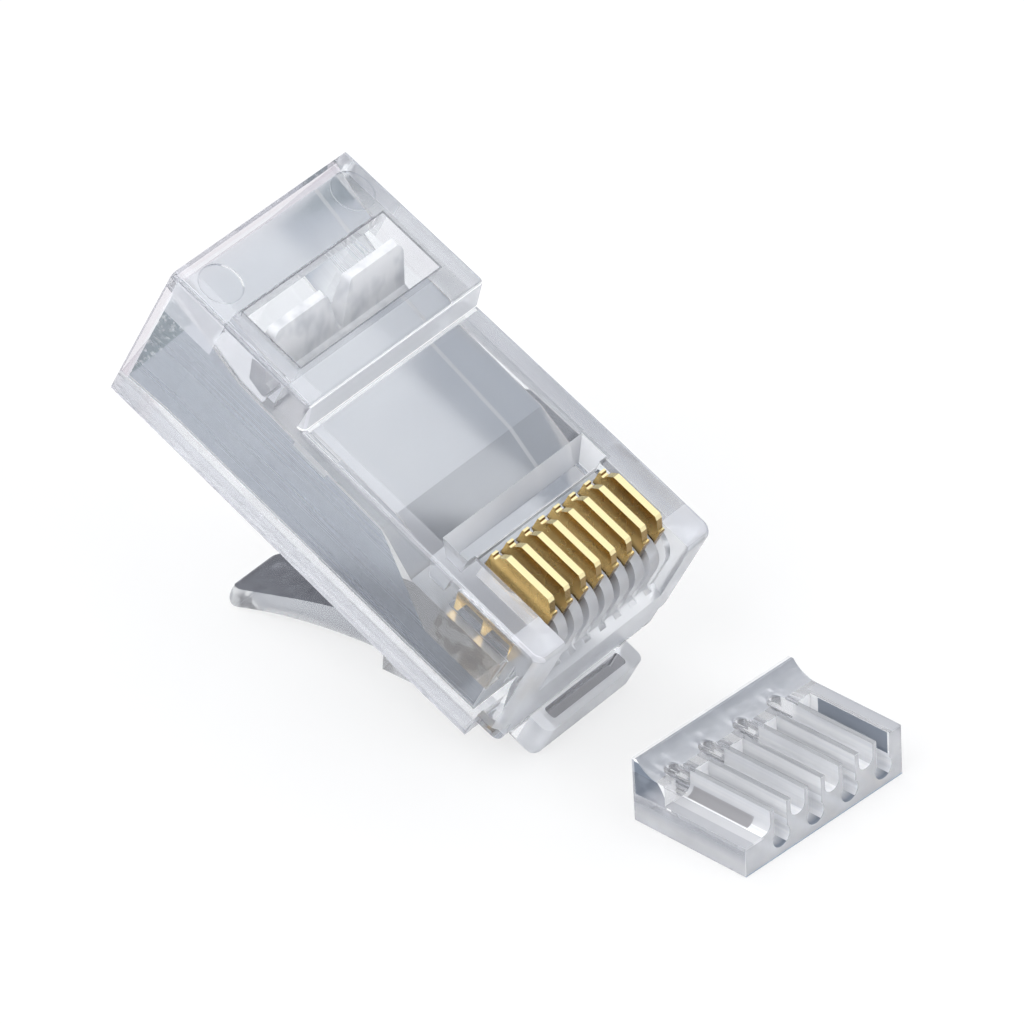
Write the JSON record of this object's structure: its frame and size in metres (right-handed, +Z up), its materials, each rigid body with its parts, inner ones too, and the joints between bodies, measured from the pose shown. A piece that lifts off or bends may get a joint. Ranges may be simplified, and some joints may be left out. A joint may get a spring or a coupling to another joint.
{
  "type": "rj45 modular plug",
  "caption": "Clear eight-way modular plug with sprung latch, gold contact blades, strain relief flap and a separate wire load bar.",
  "frame": {"origin": "centre of the box's footprint, at the surface the plug and its load bar rest on", "axes": "+Z up; +X across the row of contacts; +Y towards the raised cable end of the plug; the nose and the loose load bar point to -Y"},
  "size_m": [0.0118, 0.0326, 0.0193],
  "materials": {
    "clear_polycarbonate": "clear, polished outside, satin in the drawn cavity",
    "gold_contact": "bright gold plating on stamped bronze"
  },
  "bodies": {
    "plug": {"housing": "clear_polycarbonate", "load_bar": "clear_polycarbonate"},
    "latch_arm": {"latch": "clear_polycarbonate"},
    "flap": {"strain_relief_flap": "clear_polycarbonate"},
    "blade_1": {"contact_1": "gold_contact"},
    "blade_2": {"contact_2": "gold_contact"},
    "blade_3": {"contact_3": "gold_contact"},
    "blade_4": {"contact_4": "gold_contact"},
    "blade_5": {"contact_5": "gold_contact"},
    "blade_6": {"contact_6": "gold_contact"},
    "blade_7": {"contact_7": "gold_contact"},
    "blade_8": {"contact_8": "gold_contact"}
  },
  "joints": [
    {"name": "latch_hinge", "type": "hinge", "parent": "plug", "child": "latch_arm", "pos_m": [0, -0.00152, 0.00124], "axis": [1, 0, 0], "range_deg": [0, 24], "stiffness_Nm_per_rad": 0.12},
    {"name": "flap_hinge", "type": "hinge", "parent": "plug", "child": "flap", "pos_m": [0, 0.00859, 0.01461], "axis": [-1, 0, 0], "range_deg": [0, 55]},
    {"name": "press_1", "type": "slide", "parent": "plug", "child": "blade_1", "axis": [0, 0.493, -0.87], "range_m": [0, 0.00123]},
    {"name": "press_2", "type": "slide", "parent": "plug", "child": "blade_2", "axis": [0, 0.493, -0.87], "range_m": [0, 0.00123]},
    {"name": "press_3", "type": "slide", "parent": "plug", "child": "blade_3", "axis": [0, 0.493, -0.87], "range_m": [0, 0.00123]},
    {"name": "press_4", "type": "slide", "parent": "plug", "child": "blade_4", "axis": [0, 0.493, -0.87], "range_m": [0, 0.00123]},
    {"name": "press_5", "type": "slide", "parent": "plug", "child": "blade_5", "axis": [0, 0.493, -0.87], "range_m": [0, 0.00123]},
    {"name": "press_6", "type": "slide", "parent": "plug", "child": "blade_6", "axis": [0, 0.493, -0.87], "range_m": [0, 0.00123]},
    {"name": "press_7", "type": "slide", "parent": "plug", "child": "blade_7", "axis": [0, 0.493, -0.87], "range_m": [0, 0.00123]},
    {"name": "press_8", "type": "slide", "parent": "plug", "child": "blade_8", "axis": [0, 0.493, -0.87], "range_m": [0, 0.00123]}
  ]
}
